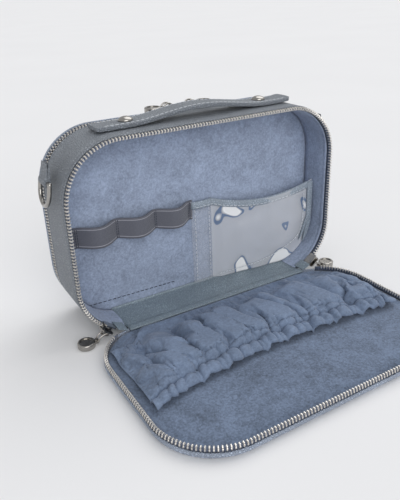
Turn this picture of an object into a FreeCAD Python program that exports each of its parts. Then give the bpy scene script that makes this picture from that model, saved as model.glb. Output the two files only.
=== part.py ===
import FreeCAD
import Part
import math
import os

os.makedirs("parts", exist_ok=True)

V = FreeCAD.Vector

# ---- overall sizes, mm ------------------
CASE_WIDTH = 220.0       # left teeth line to right teeth line
CASE_HEIGHT = 139.0      # bottom teeth line to top teeth line
CORNER_RADIUS = 40.0     # of the teeth line
CASE_DEPTH = 51.0        # front teeth plane to back teeth plane
LID_DEPTH = 9.0          # lid rim to lid outer face
FOOT = 2.0               # teeth line above the surface the case stands on

# ---- leather shell, board and lining, as offsets from the teeth line ------------------
LAYER_GAP = 0.1          # between layers that lie on each other
TAPE_THICK = 0.55
TAPE_OUT = 0.5           # outer face of the zip tape
LEATHER = 1.4            # leather of the band
LID_LEATHER = 1.2
BOARD = 1.25             # stiffener of the band
LINING = 1.0
BAND_OUT = TAPE_OUT + LAYER_GAP + LEATHER
LID_OUT = TAPE_OUT + LAYER_GAP + LID_LEATHER
TAPE_IN = TAPE_OUT - TAPE_THICK
BOARD_IN = TAPE_OUT - BOARD
LINING_OUT = BOARD_IN - LAYER_GAP
LINING_IN = LINING_OUT - LINING

# ---- depth stations, measured back from the front teeth plane ------------------
BAND_SETBACK = 5.0       # band edge behind the teeth plane
TAPE_WIDTH = 8.0
DIVIDER_FROM = 30.0      # depth of the front compartment
DIVIDER_BOARD = 2.0

# ---- zips ------------------
PITCH = 2.3              # metal zip, size 5
TOOTH_WIDTH = 1.05
TOOTH_HEAD = 0.6         # row ends this far short of the teeth plane
TOOTH_LENGTH = 2.6
TOOTH_OUT = 1.4
TOOTH_IN = -1.0
ZIP_END = 53.0           # degrees the zip runs down past the foot of each side
LID_BEND = 18.0          # degrees of free chain beside the front sliders
SLIDER_LENGTH = 9.5
SLIDER_WIDTH = 7.4
SLIDER_CLEAR = 0.4       # plate to teeth
SLIDER_PLATE = 1.0
BRIDGE_HOLE = 2.4
BRIDGE_BAR = 0.9
BACK_SLIDER_X = 6.0      # back sliders meet at the top

# ---- pulls ------------------
LINK_WIRE = 1.3
LINK_WIDTH = 4.4
LINK_KNUCKLE = 0.06      # corners stand this proud of the wire
DISC_DIAMETER = 12.6
DISC_THICK = 4.4
DISC_RIM = 1.8
DISC_SUNK = 0.6           # faces lie this far below the rim
DISC_REST = 0.15         # disc above the surface it lies on

# ---- hinge of each lid ------------------
LID_GAP = 0.5            # rim plane of a closed lid in front of the teeth plane
PIVOT_IN = LID_DEPTH / 2.0 + 0.25

# ---- inside fittings ------------------
LOOP_X = (-99.0, -68.0, -37.0, -8.0)
LOOP_LOW = 62.0
LOOP_HIGH = 78.0
LOOP_THICK = 1.2
LOOP_BULGE = 9.0
PVC_LEFT = -7.0
PVC_SEAM = 12.0
PVC_THICK = 0.5
PVC_LOW = 5.3
PVC_HIGH = 76.0
PVC_SAG = 8.0
PVC_BULGE = 11.0
BINDING = 6.0
BINDING_THICK = 1.9
STRIP_HALF = 80.0
PATCH_CLEAR = 5.9        # gusset ends this far before the middle of the slider

# ---- gathered pocket of the front lid ------------------
POCKET_HALF = 103.0
POCKET_FOOT = 7.0        # heights up the closed lid
POCKET_MOUTH = 84.0
POCKET_SKIN = 1.2
POCKET_RISE = 8.0

# ---- steps of the curved runs ------------------
BAY_STEPS = 12
HANDLE_STEPS = 40

# ---- handle and side rings ------------------
HANDLE_HALF = 79.0
HANDLE_WIDTH = 18.0
HANDLE_THICK = 3.6
HANDLE_ARCH = 5.4
STUD_X = 55.0
STUD_HEAD = 10.5
STUD_POST = 3.6
RING_WIRE = 3.0
RING_WIDTH = 20.0        # between wire centres
RING_HEIGHT = 16.0
RING_TILT = 10.0
TAB_WIDTH = 13.0
TAB_TOP = 129.0
RING_BAR_Z = 116.0

# ---- derived stations ------------------
TOP = FOOT + CASE_HEIGHT
HALF = CASE_WIDTH / 2.0
ARC_X = HALF - CORNER_RADIUS
ARC_LOW = FOOT + CORNER_RADIUS
ARC_HIGH = TOP - CORNER_RADIUS
TEETH_Y = CASE_DEPTH / 2.0
BAND_Y = TEETH_Y - BAND_SETBACK
TAPE_Y = TEETH_Y - 1.5
TAPE_BACK = TAPE_Y - TAPE_WIDTH
DIVIDER_Y = -TEETH_Y + DIVIDER_FROM
DIVIDER_BACK = DIVIDER_Y + DIVIDER_BOARD + 2 * LINING
RIM_Y = -TEETH_Y - LID_GAP
LID_FACE = RIM_Y - LID_DEPTH
PIVOT = V(0, RIM_Y - PIVOT_IN, PIVOT_IN - 0.5)
SHELL_EDGE = 3.6         # depths below the lid rim
LID_LINING = 4.2
LID_FOAM = LID_LINING + LINING + 0.05
LID_BOARD = LID_DEPTH - LID_LEATHER - 0.05 - 1.5
LID_FILLET = 4.0


# ---- helpers ------------------
def outline(offset, y):
    """Rounded rectangle of the teeth line, grown by an offset, at depth y."""
    x = HALF + offset
    low = FOOT - offset
    high = TOP + offset
    r = CORNER_RADIUS + offset
    k = r * (1 - math.sqrt(0.5))
    a = ARC_X
    edges = [
        Part.makeLine(V(-a, y, low), V(a, y, low)),
        Part.Arc(V(a, y, low), V(x - k, y, low + k), V(x, y, ARC_LOW)).toShape(),
        Part.makeLine(V(x, y, ARC_LOW), V(x, y, ARC_HIGH)),
        Part.Arc(V(x, y, ARC_HIGH), V(x - k, y, high - k), V(a, y, high)).toShape(),
        Part.makeLine(V(a, y, high), V(-a, y, high)),
        Part.Arc(V(-a, y, high), V(-x + k, y, high - k), V(-x, y, ARC_HIGH)).toShape(),
        Part.makeLine(V(-x, y, ARC_HIGH), V(-x, y, ARC_LOW)),
        Part.Arc(V(-x, y, ARC_LOW), V(-x + k, y, low + k), V(-a, y, low)).toShape(),
    ]
    return Part.Wire(edges)


def slab(offset, y0, y1):
    return Part.Face(outline(offset, y0)).extrude(V(0, y1 - y0, 0))


def ring(outer, inner, y0, y1):
    return slab(outer, y0, y1).cut(slab(inner, y0 - 1, y1 + 1))


def box(x0, x1, y0, y1, z0, z1):
    return Part.makeBox(x1 - x0, y1 - y0, z1 - z0, V(x0, y0, z0))


def prism(points, direction):
    """Extrude a closed polygon of vectors."""
    return Part.Face(Part.makePolygon(points + [points[0]])).extrude(direction)


def mirror_x(shape):
    return shape.mirror(V(0, 0, 0), V(1, 0, 0))


def mirror_y(shape):
    return shape.mirror(V(0, 0, 0), V(0, 1, 0))


def single(shape):
    """The one solid of a boolean result."""
    solids = shape.Solids
    if len(solids) != 1:
        raise RuntimeError("expected one solid, got %d" % len(solids))
    return solids[0]


def zip_gap(angle):
    """Wedge below the two ends of a zip that runs an angle past the foot of each side."""
    a = math.radians(angle)
    reach = 90.0
    points = [
        V(-ARC_X, -60, ARC_LOW),
        V(-ARC_X - reach * math.cos(a), -60, ARC_LOW - reach * math.sin(a)),
        V(ARC_X + reach * math.cos(a), -60, ARC_LOW - reach * math.sin(a)),
        V(ARC_X, -60, ARC_LOW),
    ]
    return prism(points, V(0, 120, 0))


def line_point(s):
    """Point and outward angle on the right half of the teeth line, s from the top centre."""
    quarter = CORNER_RADIUS * math.pi / 2
    side = ARC_HIGH - ARC_LOW
    if s <= ARC_X:
        return s, TOP, 90.0
    s -= ARC_X
    if s <= quarter:
        t = math.pi / 2 - s / CORNER_RADIUS
        x = ARC_X + CORNER_RADIUS * math.cos(t)
        return x, ARC_HIGH + CORNER_RADIUS * math.sin(t), math.degrees(t)
    s -= quarter
    if s <= side:
        return HALF, ARC_HIGH - s, 0.0
    s -= side
    t = -s / CORNER_RADIUS
    x = ARC_X + CORNER_RADIUS * math.cos(t)
    return x, ARC_LOW + CORNER_RADIUS * math.sin(t), math.degrees(t)


def line_length(angle):
    """Half length of the teeth line down to an angle past the foot of a side."""
    arcs = CORNER_RADIUS * (math.pi / 2 + math.radians(angle))
    return ARC_X + arcs + ARC_HIGH - ARC_LOW


def on_line(shape, s):
    """Place a shape made with +X along the zip and +Z outward."""
    x, z, angle = line_point(s)
    placed = shape.copy()
    placed.rotate(V(0, 0, 0), V(0, 1, 0), 90.0 - angle)
    placed.translate(V(x, 0, z))
    return placed


def clamp(width, head, foot, low, high):
    """Metal block that grips the edge of the zip tape between two legs."""
    edge = head + 0.85
    points = [
        V(-width / 2, head, low),
        V(-width / 2, head, high),
        V(-width / 2, foot, high),
        V(-width / 2, foot, TAPE_OUT + 0.1),
        V(-width / 2, edge, TAPE_OUT + 0.1),
        V(-width / 2, edge, TAPE_IN - 0.1),
        V(-width / 2, foot, TAPE_IN - 0.1),
        V(-width / 2, foot, low),
    ]
    return prism(points, V(width, 0, 0))


def both_sides(shape, s):
    right = on_line(shape, s)
    return [right, mirror_x(right)]


def teeth_row(tooth, start, stop):
    """Teeth at every pitch from start to stop, on both halves of the line."""
    row = []
    i = 0
    while (i + 0.5) * PITCH < stop:
        s = (i + 0.5) * PITCH
        if s >= start:
            row += both_sides(tooth, s)
        i += 1
    return Part.makeCompound(row)


def open_lid(shape):
    """Swing a closed front lid piece down to lie on the surface in front."""
    placed = shape.copy()
    placed.rotate(PIVOT, V(1, 0, 0), 90.0)
    return placed


def ribbon(points, thick, z0, z1):
    """Upright strip of even thickness along a line of (x, y) points."""
    left = []
    right = []
    count = len(points)
    for i in range(count):
        a = points[max(i - 1, 0)]
        b = points[min(i + 1, count - 1)]
        length = math.hypot(b[0] - a[0], b[1] - a[1])
        nx = -(b[1] - a[1]) / length * thick / 2
        ny = (b[0] - a[0]) / length * thick / 2
        x, y = points[i]
        left.append(V(x + nx, y + ny, z0))
        right.append(V(x - nx, y - ny, z0))
    return prism(left + right[::-1], V(0, 0, z1 - z0))


parts = {}

# ---- body: band, stiffener, linings and divider ------------------
post_holes = [
    Part.makeCylinder(STUD_POST / 2 + 0.1, 12, V(x, 0, TOP - 3)) for x in (-STUD_X, STUD_X)
]
holes = Part.makeCompound(post_holes)
band = ring(BAND_OUT, TAPE_OUT + LAYER_GAP, -BAND_Y, BAND_Y)
parts["body_band"] = single(band.cut(holes))
board_y = TAPE_BACK - LAYER_GAP
stiffener = ring(TAPE_OUT, BOARD_IN, -board_y, board_y)
parts["band_stiffener"] = single(stiffener.cut(holes))
parts["front_wall_lining"] = ring(LINING_OUT, LINING_IN, -BAND_Y, DIVIDER_Y - LAYER_GAP)
parts["back_wall_lining"] = ring(LINING_OUT, LINING_IN, DIVIDER_BACK + LAYER_GAP, BAND_Y)
divider = LINING_OUT - LAYER_GAP
board_front = DIVIDER_Y + LINING
board_back = board_front + DIVIDER_BOARD
parts["divider_board"] = slab(divider, board_front, board_back)
parts["divider_front_lining"] = slab(divider, DIVIDER_Y, board_front)
parts["divider_back_lining"] = slab(divider, board_back, DIVIDER_BACK)

# ---- zip tapes and teeth ------------------
below_zip = zip_gap(ZIP_END + 6.0)
tape = single(ring(TAPE_OUT, TAPE_IN, -TAPE_Y, -TAPE_BACK).cut(below_zip))
parts["front_body_tape"] = tape
parts["back_body_tape"] = mirror_y(tape)
head = -TEETH_Y + TOOTH_HEAD
tooth = clamp(TOOTH_WIDTH, head, head + TOOTH_LENGTH, TOOTH_IN, TOOTH_OUT)
row_end = line_length(ZIP_END)
bend_end = line_length(ZIP_END - LID_BEND)
row = teeth_row(tooth, 0, row_end)
stop = clamp(2.2, head, head + TOOTH_LENGTH, TOOTH_IN - 0.1, TOOTH_OUT + 0.1)
stops = both_sides(stop, line_length(ZIP_END + 4.2))
parts["front_body_teeth"] = row
parts["back_body_teeth"] = mirror_y(row)
parts["front_zip_stops"] = Part.makeCompound(stops)
parts["back_zip_stops"] = mirror_y(parts["front_zip_stops"])


# ---- lids, made closed in front and then placed ------------------
def depth(t):
    return RIM_Y - t


lid_tape = ring(TAPE_OUT, TAPE_IN, depth(5.0), depth(1.0))
lid_head = -TEETH_Y - TOOTH_HEAD
lid_tooth = clamp(TOOTH_WIDTH, -lid_head, -lid_head + TOOTH_LENGTH, TOOTH_IN, TOOTH_OUT)
lid_tooth = mirror_y(lid_tooth)


def rounded_slab(offset, y0, y1, radius):
    """Slab whose rim at y0 is rounded."""
    body = slab(offset, y0, y1)
    rim = [e for e in body.Edges if all(abs(v.Y - y0) < 1e-6 for v in e.Vertexes)]
    return body.makeFillet(radius, rim)


outer = rounded_slab(LID_OUT, LID_FACE, depth(SHELL_EDGE), LID_FILLET)
inner_fillet = LID_FILLET - LID_LEATHER
inner = rounded_slab(TAPE_OUT + LAYER_GAP, LID_FACE + LID_LEATHER, depth(SHELL_EDGE) + 2, inner_fillet)
lid = {
    "shell": single(outer.cut(inner)),
    "board": slab(-1.9, depth(LID_BOARD + 1.5), depth(LID_BOARD)),
    "foam": slab(-1.0, depth(LID_BOARD - 0.05), depth(LID_FOAM)),
    "lining": slab(-0.15, depth(LID_LINING + LINING), depth(LID_LINING)),
}
for name, shape in lid.items():
    parts["front_lid_" + name] = open_lid(shape)
    parts["back_lid_" + name] = mirror_y(shape)

main_tape = single(lid_tape.cut(zip_gap(ZIP_END - LID_BEND)))
end_tapes = lid_tape.cut(below_zip).common(zip_gap(ZIP_END - LID_BEND + 0.15)).Solids
parts["front_lid_tape"] = open_lid(main_tape)
parts["back_lid_tape"] = mirror_y(single(lid_tape.cut(below_zip)))
parts["front_lid_teeth"] = open_lid(teeth_row(lid_tooth, 0, bend_end))
parts["back_lid_teeth"] = mirror_y(teeth_row(lid_tooth, 0, row_end))
end_teeth = teeth_row(lid_tooth, bend_end, row_end).Solids
parts["front_lid_zip_ends"] = open_lid(Part.makeCompound(end_tapes + end_teeth))

# ---- gathered pocket in the front lid ------------------


def pocket_form(skin, low, high, clip):
    """Ruled puffed form between side stations, shrunk by a skin thickness."""
    floor = depth(LID_LINING) + 0.05
    base = floor + skin * 0.5
    wires = []
    half = POCKET_HALF - skin * 2
    for x, rise in ((-half, 1.6), (-half + 14, POCKET_RISE), (half - 14, POCKET_RISE), (half, 1.6)):
        top = max(floor + rise - skin, base + 0.4)
        mid = max(floor + rise * 0.75 - skin, base + 0.3)
        near = max(floor + 2.0 - skin, base + 0.2)
        ring_points = [
            V(x, base, low),
            V(x, near, low),
            V(x, mid, low + 26),
            V(x, top, high - 14),
            V(x, top, high),
            V(x, base, high),
        ]
        wires.append(Part.makePolygon(ring_points + [ring_points[0]]))
    return Part.makeLoft(wires, True, True).common(slab(clip, -60, 10))


pocket = pocket_form(0.0, POCKET_FOOT, POCKET_MOUTH, -4.5)
hollow = pocket_form(POCKET_SKIN, POCKET_FOOT + POCKET_SKIN, POCKET_MOUTH + 5, -5.7)
elastic_y = depth(LID_LINING) + POCKET_RISE - 0.9
channel = box(-86, 86, elastic_y - 0.35, elastic_y + 0.35, POCKET_MOUTH - 9, POCKET_MOUTH - 2)
elastic = box(-85.7, 85.7, elastic_y - 0.3, elastic_y + 0.3, POCKET_MOUTH - 8.7, POCKET_MOUTH - 2.3)
hem = box(-87, 87, elastic_y - 1.3, elastic_y + 0.7, POCKET_MOUTH - 10.5, POCKET_MOUTH - 0.5)
pocket = pocket.cut(hollow).fuse(hem.common(pocket)).cut(channel).removeSplitter()
parts["lid_pocket"] = open_lid(single(pocket))
parts["lid_pocket_elastic"] = open_lid(elastic)

# ---- hinge leathers ------------------
strip_out = LINING_IN - LAYER_GAP
low_front = box(-STRIP_HALF, STRIP_HALF, -60, 60, 0, 16)
strip_in = strip_out - LINING
strip = ring(strip_out, strip_in, -TEETH_Y - 1, DIVIDER_Y - LAYER_GAP).common(low_front)
tongue_low = LID_DEPTH - SHELL_EDGE + 0.05
tongue_y = -TEETH_Y - 7.0
tongue = box(-STRIP_HALF, STRIP_HALF, tongue_y, -TEETH_Y, tongue_low, tongue_low + 1.0)
riser = box(-STRIP_HALF, STRIP_HALF, -TEETH_Y - 1, -TEETH_Y, 0, tongue_low + 1.0)
riser = riser.common(slab(strip_out, -40, 0))
parts["front_hinge_strip"] = single(strip.fuse([riser, tongue]).removeSplitter())
back_end = TEETH_Y + LID_GAP + LID_LINING - LAYER_GAP
strip = ring(strip_out, strip_in, DIVIDER_BACK + LAYER_GAP, back_end).common(low_front)
upright = slab(strip_out, back_end - LINING, back_end).common(box(-STRIP_HALF, STRIP_HALF, 0, 60, 0, 14))
parts["back_hinge_strip"] = single(strip.fuse(upright).removeSplitter())
patch = ring(strip_out, strip_out - LINING * 0.8, -TEETH_Y - 4.6, -BAND_Y + 1.5)
patch_rise = math.sqrt((CORNER_RADIUS + strip_out) ** 2 - (ARC_LOW - tongue_low - LAYER_GAP) ** 2)
patch_from = max(STRIP_HALF + 0.5, ARC_X + patch_rise)
patch_to = ARC_X + CORNER_RADIUS * math.cos(math.radians(ZIP_END)) - PATCH_CLEAR
patch = patch.common(box(patch_from, patch_to, -60, 0, 0, 20))
parts["front_hinge_patches"] = Part.makeCompound([patch, mirror_x(patch)])
hinge_in = -BAND_Y - 0.1
hinge_out = RIM_Y - 0.6
hinge_points = [
    V(-ARC_X, hinge_in, 0.15),
    V(-ARC_X, hinge_in, 1.35),
    V(-ARC_X, hinge_out, 3.8),
    V(-ARC_X, hinge_out, 2.6),
]
parts["front_hinge_leather"] = prism(hinge_points, V(2 * ARC_X, 0, 0))
back_shell = -depth(SHELL_EDGE) - 0.1
parts["back_hinge_leather"] = box(-ARC_X, ARC_X, BAND_Y + 0.1, back_shell, 0.25, 1.35)

# ---- elastic loops on the divider ------------------
face = DIVIDER_Y - LAYER_GAP
loop_line = [(LOOP_X[0] - 2.0, face - LOOP_THICK / 2)]
for left, right in zip(LOOP_X[:-1], LOOP_X[1:]):
    for k in range(BAY_STEPS):
        u = k / BAY_STEPS
        bulge = LOOP_BULGE * math.sin(math.pi * u) ** 1.3
        loop_line.append((left + (right - left) * u, face - LOOP_THICK / 2 - bulge))
loop_line.append((LOOP_X[-1], face - LOOP_THICK / 2))
parts["elastic_loops"] = single(ribbon(loop_line, LOOP_THICK, LOOP_LOW, LOOP_HIGH))


# ---- clear pocket with a leather binding ------------------
wall = HALF + LINING_IN
pvc_back = face - BINDING_THICK / 2 - 0.05
pvc_line = [
    (PVC_LEFT + 1.0, pvc_back),
    (PVC_LEFT + 4.0, pvc_back - 1.2),
    (PVC_SEAM - 4.0, pvc_back - 1.2),
    (PVC_SEAM, pvc_back),
    (PVC_SEAM + 10.0, pvc_back - 2.8),
    (60.0, pvc_back - 7.0),
    (92.0, pvc_back - 9.4),
    (wall - 1.1, pvc_back - PVC_BULGE + 1.0),
]


def sagging(top, low):
    """Tall sheet in X and Z whose top edge sags between its ends."""
    ends = [V(PVC_LEFT - 2, -40, low), V(wall + 2, -40, low)]
    a = V(PVC_LEFT - 2, -40, top)
    b = V(wall + 2, -40, top)
    mid = V((a.x + b.x) / 2, -40, top - PVC_SAG)
    edges = [
        Part.makeLine(ends[0], a),
        Part.Arc(a, mid, b).toShape(),
        Part.makeLine(b, ends[1]),
        Part.makeLine(ends[1], ends[0]),
    ]
    return Part.Face(Part.Wire(edges)).extrude(V(0, 60, 0))


tall = ribbon(pvc_line, PVC_THICK, PVC_LOW, PVC_HIGH + 5)
tall = tall.common(sagging(PVC_HIGH - 1.2, PVC_LOW - 1))
inside = slab(strip_in - LAYER_GAP, -40, 20)
parts["pvc_pocket"] = single(tall.common(inside))
cover = ribbon(pvc_line, BINDING_THICK, PVC_LOW, PVC_HIGH + 5)
top_strip = cover.common(sagging(PVC_HIGH, PVC_LOW - 1)).cut(sagging(PVC_HIGH - BINDING, PVC_LOW - 2))
edge = inside.cut(slab(strip_in - LAYER_GAP - 4.5, -40, 20))
side_strip = cover.common(edge).common(box(HALF - 25, HALF, -40, 20, PVC_LOW + 8, PVC_HIGH))
side_strip = side_strip.common(sagging(PVC_HIGH, PVC_LOW - 1))
top_strip = top_strip.common(inside)
groove = ribbon(pvc_line, PVC_THICK + 0.1, PVC_LOW - 1, PVC_HIGH + 5)
groove = groove.common(sagging(PVC_HIGH - 1.1, PVC_LOW - 2))
parts["pocket_binding"] = single(top_strip.fuse(side_strip).cut(groove).removeSplitter())

# ---- handle ------------------
handle_low = FOOT + CASE_HEIGHT + BAND_OUT + 0.1


def handle_height(x):
    if abs(x) >= STUD_X + 3:
        return handle_low
    return handle_low + HANDLE_ARCH * math.cos(math.pi * x / (2 * (STUD_X + 3))) ** 2


under = []
for k in range(HANDLE_STEPS + 1):
    x = -HANDLE_HALF + 2 * HANDLE_HALF * k / HANDLE_STEPS
    under.append(V(x, -HANDLE_WIDTH / 2, handle_height(x)))
over = [V(p.x, p.y, p.z + HANDLE_THICK) for p in reversed(under)]
strap = prism(under + over, V(0, HANDLE_WIDTH, 0))
tip = 3.5
plan = []
for sx, sy in ((-1, -1), (1, -1), (1, 1), (-1, 1)):
    corner = [
        V(sx * HANDLE_HALF, sy * (HANDLE_WIDTH / 2 - tip), TOP),
        V(sx * (HANDLE_HALF - tip), sy * HANDLE_WIDTH / 2, TOP),
    ]
    if sx * sy > 0:
        corner.reverse()
    plan += corner[::-1]
strap = strap.common(prism(plan, V(0, 0, 30)))
slit_cuts = []
for sx in (-1, 1):
    slit_cuts.append(Part.makeCylinder(STUD_POST / 2 + 0.3, 20, V(sx * STUD_X, 0, TOP)))
    start = min(sx * STUD_X, sx * (STUD_X + 11))
    slit_cuts.append(box(start, start + 11, -0.3, 0.3, TOP, TOP + 20))
parts["handle_strap"] = single(strap.cut(Part.makeCompound(slit_cuts)))

stud_top = handle_height(STUD_X) + HANDLE_THICK + 0.5
studs = []
for x in (-STUD_X, STUD_X):
    post = Part.makeCylinder(STUD_POST / 2, stud_top + 1 - (TOP - 0.5), V(x, 0, TOP - 0.5))
    ball = Part.makeCylinder(STUD_HEAD / 2, 3.0, V(x, 0, stud_top))
    rims = [e for e in ball.Edges if e.Length > STUD_HEAD and e.Closed]
    rims.sort(key=lambda e: e.BoundBox.ZMax)
    ball = ball.makeFillet(0.7, [rims[0]])
    rims = [e for e in ball.Edges if e.Closed and abs(e.BoundBox.ZMin - stud_top - 3.0) < 1e-6]
    ball = ball.makeFillet(2.0, rims)
    studs.append(post.fuse(ball).removeSplitter())
parts["handle_studs"] = Part.makeCompound(studs)

# ---- side rings on leather tabs ------------------
bar_x = -HALF - BAND_OUT - 3.1
tab_out = RING_WIRE / 2 + 1.4
tab = Part.makeCylinder(tab_out, TAB_WIDTH, V(bar_x, -TAB_WIDTH / 2, RING_BAR_Z), V(0, 1, 0))
back_leaf = box(bar_x, -HALF - BAND_OUT - 0.1, -TAB_WIDTH / 2, TAB_WIDTH / 2, RING_BAR_Z, TAB_TOP)
slope = [
    V(bar_x - tab_out, -TAB_WIDTH / 2, RING_BAR_Z),
    V(bar_x - tab_out, -TAB_WIDTH / 2, RING_BAR_Z + 2),
    V(bar_x + 1.2, -TAB_WIDTH / 2, TAB_TOP),
    V(bar_x + 1.2, -TAB_WIDTH / 2, RING_BAR_Z),
]
trim = box(bar_x - 1, bar_x + 1.0, -20, 20, TAB_TOP - 8, TAB_TOP + 5)
tab = tab.fuse(back_leaf.cut(trim)).fuse(prism(slope, V(0, TAB_WIDTH, 0)))
tab = tab.cut(Part.makeCylinder(RING_WIRE / 2 + 0.2, 40, V(bar_x, -20, RING_BAR_Z), V(0, 1, 0)))
parts["ring_tab_left"] = single(tab.removeSplitter())
parts["ring_tab_right"] = mirror_x(parts["ring_tab_left"])

r = RING_WIDTH / 2
wire_path = Part.Wire([
    Part.makeLine(V(0, -r, 0), V(0, -r, -RING_HEIGHT + r)),
    Part.Arc(V(0, -r, -RING_HEIGHT + r), V(0, 0, -RING_HEIGHT), V(0, r, -RING_HEIGHT + r)).toShape(),
    Part.makeLine(V(0, r, -RING_HEIGHT + r), V(0, r, 0)),
])
profile = Part.Wire([Part.makeCircle(RING_WIRE / 2, V(0, -r, 0), V(0, 0, 1))])
bow = wire_path.makePipeShell([profile], True, False)
bar = Part.makeCylinder(RING_WIRE / 2, RING_WIDTH, V(0, -r, 0), V(0, 1, 0))
knuckles = [Part.makeSphere(RING_WIRE / 2, V(0, s * r, 0)) for s in (-1, 1)]
d_ring = bow.fuse([bar] + knuckles).removeSplitter()
d_ring.rotate(V(0, 0, 0), V(0, 1, 0), RING_TILT)
d_ring.translate(V(bar_x, 0, RING_BAR_Z))
parts["d_ring_left"] = single(d_ring)
parts["d_ring_right"] = mirror_x(parts["d_ring_left"])

# ---- sliders ------------------
plate_low = TOOTH_IN - SLIDER_CLEAR - 0.2
plate_high = TOOTH_OUT + SLIDER_CLEAR
half_l = SLIDER_LENGTH / 2
half_w = SLIDER_WIDTH / 2


def slider(y):
    """Slider made with +X down the zip, its nose at -X."""
    low_plate = box(-half_l, half_l, y - half_w, y + half_w, plate_low - SLIDER_PLATE, plate_low)
    high_plate = box(-half_l, half_l, y - half_w, y + half_w, plate_high, plate_high + SLIDER_PLATE)
    corners = [e for e in high_plate.Edges if abs(e.Vertexes[0].Z - e.Vertexes[-1].Z) > 0.5]
    high_plate = high_plate.makeFillet(1.6, corners)
    corners = [e for e in low_plate.Edges if abs(e.Vertexes[0].Z - e.Vertexes[-1].Z) > 0.5]
    low_plate = low_plate.makeFillet(1.6, corners)
    post = box(-half_l + 0.8, -half_l + 3.4, y - 0.3, y + 0.3, plate_low - 0.2, plate_high + 0.2)
    foot = plate_high + SLIDER_PLATE
    tall = BRIDGE_HOLE + BRIDGE_BAR
    bridge = box(-3.4, 3.4, y - 0.8, y + 0.8, foot - 0.2, foot + tall)
    ends = [e for e in bridge.Edges if abs(e.Vertexes[0].Y - e.Vertexes[-1].Y) > 1]
    ends = [e for e in ends if e.Vertexes[0].Z > foot + 1]
    bridge = bridge.makeFillet(1.2, ends)
    bridge = bridge.cut(box(-2.3, 2.3, y - 2, y + 2, foot, foot + BRIDGE_HOLE))
    return single(low_plate.fuse([high_plate, post, bridge]).removeSplitter())


front_slider = on_line(slider(-TEETH_Y), line_length(ZIP_END))
back_slider = on_line(slider(TEETH_Y), BACK_SLIDER_X)
parts["front_right_slider"] = front_slider
parts["front_left_slider"] = mirror_x(front_slider)
parts["back_right_slider"] = back_slider
parts["back_left_slider"] = mirror_x(back_slider)


# ---- links and disc pulls ------------------
def link(a, b, y, sag):
    """Bowed wire link with its end bars across the zip at points a and b (x, z)."""
    half = math.hypot(b[0] - a[0], b[1] - a[1]) / 2
    lean = math.degrees(math.atan2(b[1] - a[1], b[0] - a[0]))
    bow = (half ** 2 + sag ** 2) / (2 * sag)
    sweep = 2 * math.degrees(math.asin(half / bow))
    if sag > bow:
        sweep = 360 - sweep
    centre = V(0, 0, sag - bow)
    wire = LINK_WIRE / 2
    along = V(bow - sag, 0, half)
    pieces = []
    for side in (V(0, -LINK_WIDTH / 2, 0), V(0, LINK_WIDTH / 2, 0)):
        end = V(-half, 0, 0).add(side)
        section = Part.Face(Part.Wire([Part.makeCircle(wire, end, along)]))
        pieces.append(section.revolve(centre.add(side), V(0, 1, 0), sweep))
        for x in (-half, half):
            pieces.append(Part.makeSphere(wire + LINK_KNUCKLE, V(x, side.y, 0)))
    for x in (-half, half):
        pieces.append(Part.makeCylinder(wire, LINK_WIDTH, V(x, -LINK_WIDTH / 2, 0), V(0, 1, 0)))
    made = single(pieces[0].fuse(pieces[1:]))
    made.rotate(V(0, 0, 0), V(0, 1, 0), -lean)
    made.translate(V((a[0] + b[0]) / 2, y, (a[1] + b[1]) / 2))
    return made


def disc(x, y, z):
    """Flat round pull whose lug hole is at x, z and which reaches toward +X."""
    centre = x + DISC_DIAMETER / 2 + 1.5
    body = Part.makeCylinder(DISC_DIAMETER / 2, DISC_THICK, V(centre, y, z - DISC_THICK / 2))
    rims = [e for e in body.Edges if e.Closed and e.Length > DISC_DIAMETER]
    body = body.makeFillet(0.9, rims)
    for low in (z - DISC_THICK / 2, z + DISC_THICK / 2 - DISC_SUNK):
        body = body.cut(Part.makeCylinder(DISC_DIAMETER / 2 - DISC_RIM, DISC_SUNK, V(centre, y, low)))
    lug = Part.makeCylinder(1.7, 1.8, V(x, y - 0.9, z), V(0, 1, 0))
    arm = box(x, x + 3.0, y - 0.9, y + 0.9, z - 1.7, z + 1.7)
    hole = Part.makeCylinder(LINK_WIRE / 2 + 0.2, 6, V(x, y - 3, z), V(0, 1, 0))
    return single(body.fuse([lug, arm]).cut(hole).removeSplitter())


bridge_out = plate_high + SLIDER_PLATE + BRIDGE_HOLE / 2
end_a = math.radians(ZIP_END)
front_hook = (
    ARC_X + (CORNER_RADIUS + bridge_out) * math.cos(end_a),
    ARC_LOW - (CORNER_RADIUS + bridge_out) * math.sin(end_a),
)
front_eye = (front_hook[0] + 6.7, DISC_REST + DISC_THICK / 2)
parts["front_right_link"] = link(front_hook, front_eye, -TEETH_Y, 1.2)
parts["front_right_disc"] = disc(front_eye[0], -TEETH_Y, front_eye[1])
back_hook = (BACK_SLIDER_X, TOP + bridge_out)
back_eye = (BACK_SLIDER_X + 8.0, TOP + BAND_OUT + 0.35 + DISC_THICK / 2)
parts["back_right_link"] = link(back_hook, back_eye, TEETH_Y, 3.8)
parts["back_right_disc"] = disc(back_eye[0], TEETH_Y, back_eye[1])
for name in ("front_right_link", "front_right_disc", "back_right_link", "back_right_disc"):
    parts[name.replace("right", "left")] = mirror_x(parts[name])

for name, shape in parts.items():
    if not shape.isValid():
        raise RuntimeError(name + " is not a valid shape")
    shape.exportStep(os.path.join("parts", name + ".step"))
print("nodes:", len(parts))
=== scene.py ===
"""Travel jewelry case: leather band, two zipped lids, suede linings, elastic loops and two pockets."""

import math
import random

import bmesh
import bpy
from mathutils import Matrix, Vector, noise


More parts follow.
